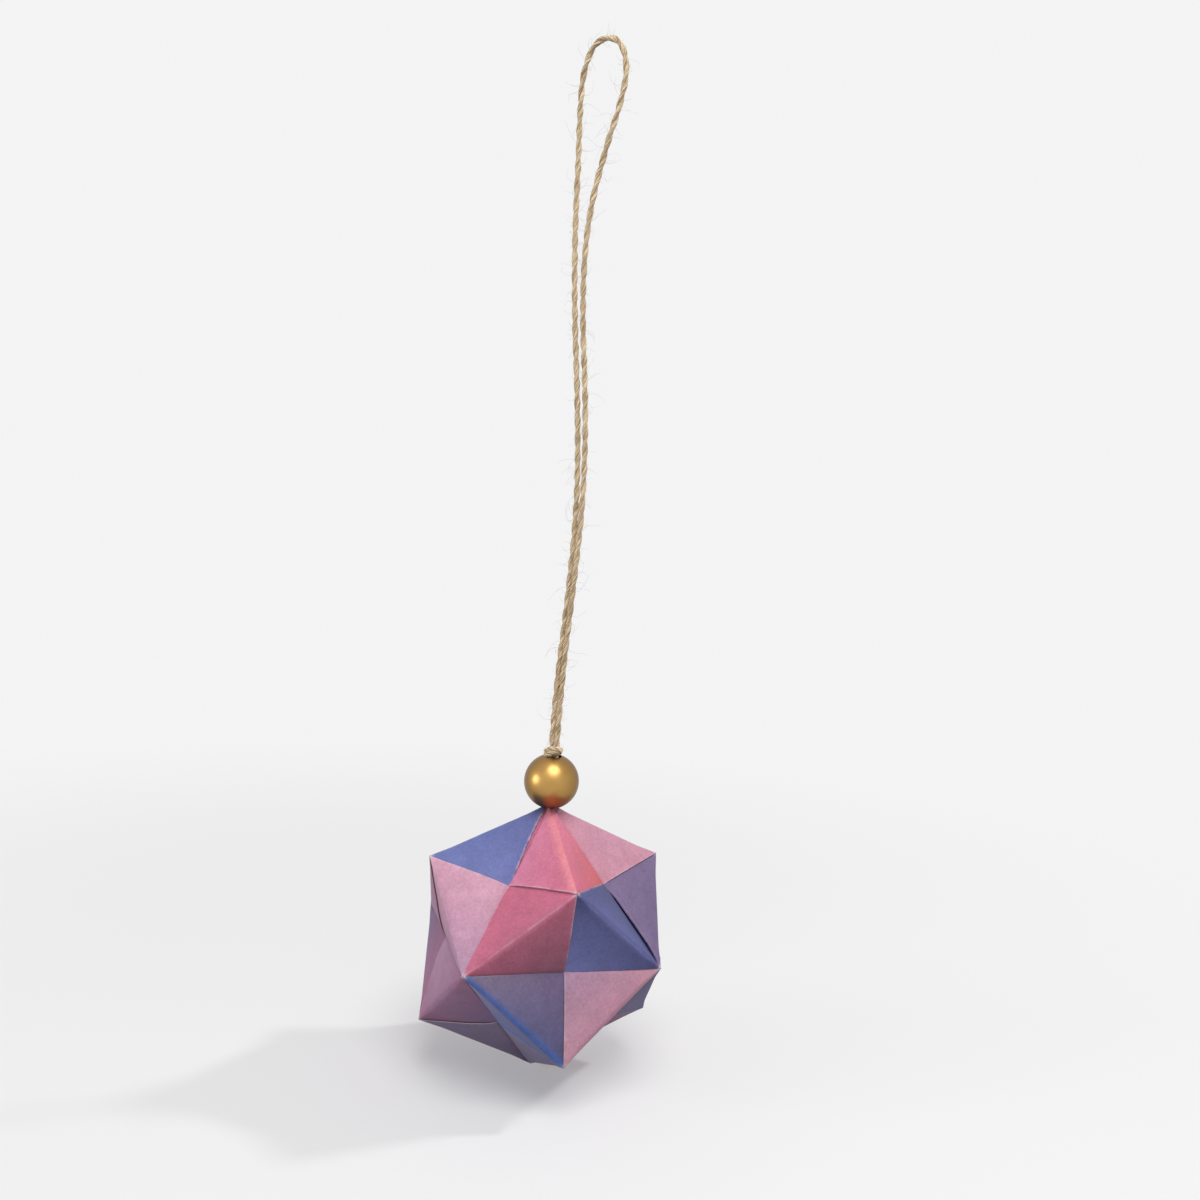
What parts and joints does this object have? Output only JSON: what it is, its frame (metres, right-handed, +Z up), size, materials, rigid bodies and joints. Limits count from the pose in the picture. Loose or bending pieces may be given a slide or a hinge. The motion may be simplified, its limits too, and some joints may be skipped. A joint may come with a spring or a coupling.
{
  "type": "kusudama paper ball",
  "caption": "Folded paper star ball of interlocked square sheets in rose, mauve and blue, with a gold bead and a jute hanging loop.",
  "frame": {"origin": "inside top of the twine's hanging loop", "axes": "+Z up along the hanging line through the bead and the ball's centre, -Y towards the front corner of the ball, the loop lies in the XZ plane"},
  "size_m": [0.0702, 0.0702, 0.2627],
  "materials": {
    "paper_rose": "matte printed paper, rose shading to coral",
    "paper_mauve": "matte printed paper, dusty pink to mauve",
    "paper_violet": "matte printed paper, slate violet to mauve",
    "paper_slate": "matte printed paper, slate blue to violet",
    "paper_blue": "matte printed paper, periwinkle blue",
    "gold_paint": "turned wooden ball under satin gold paint",
    "jute_twine": "hairy two-ply jute twine"
  },
  "bodies": {
    "root": {"unit_top_front": "paper_rose", "unit_top_right": "paper_slate", "unit_top_back": "paper_mauve", "unit_top_left": "paper_blue", "unit_mid_front_right": "paper_rose", "unit_mid_back_right": "paper_slate", "unit_mid_back_left": "paper_blue", "unit_mid_front_left": "paper_violet", "unit_bottom_front": "paper_slate", "unit_bottom_right": "paper_violet", "unit_bottom_back": "paper_rose", "unit_bottom_left": "paper_mauve", "gold_bead": "gold_paint", "top_knot": "jute_twine", "stop_knot": "jute_twine", "twine_stem": "jute_twine", "twine_loop": "jute_twine"}
  },
  "joints": []
}
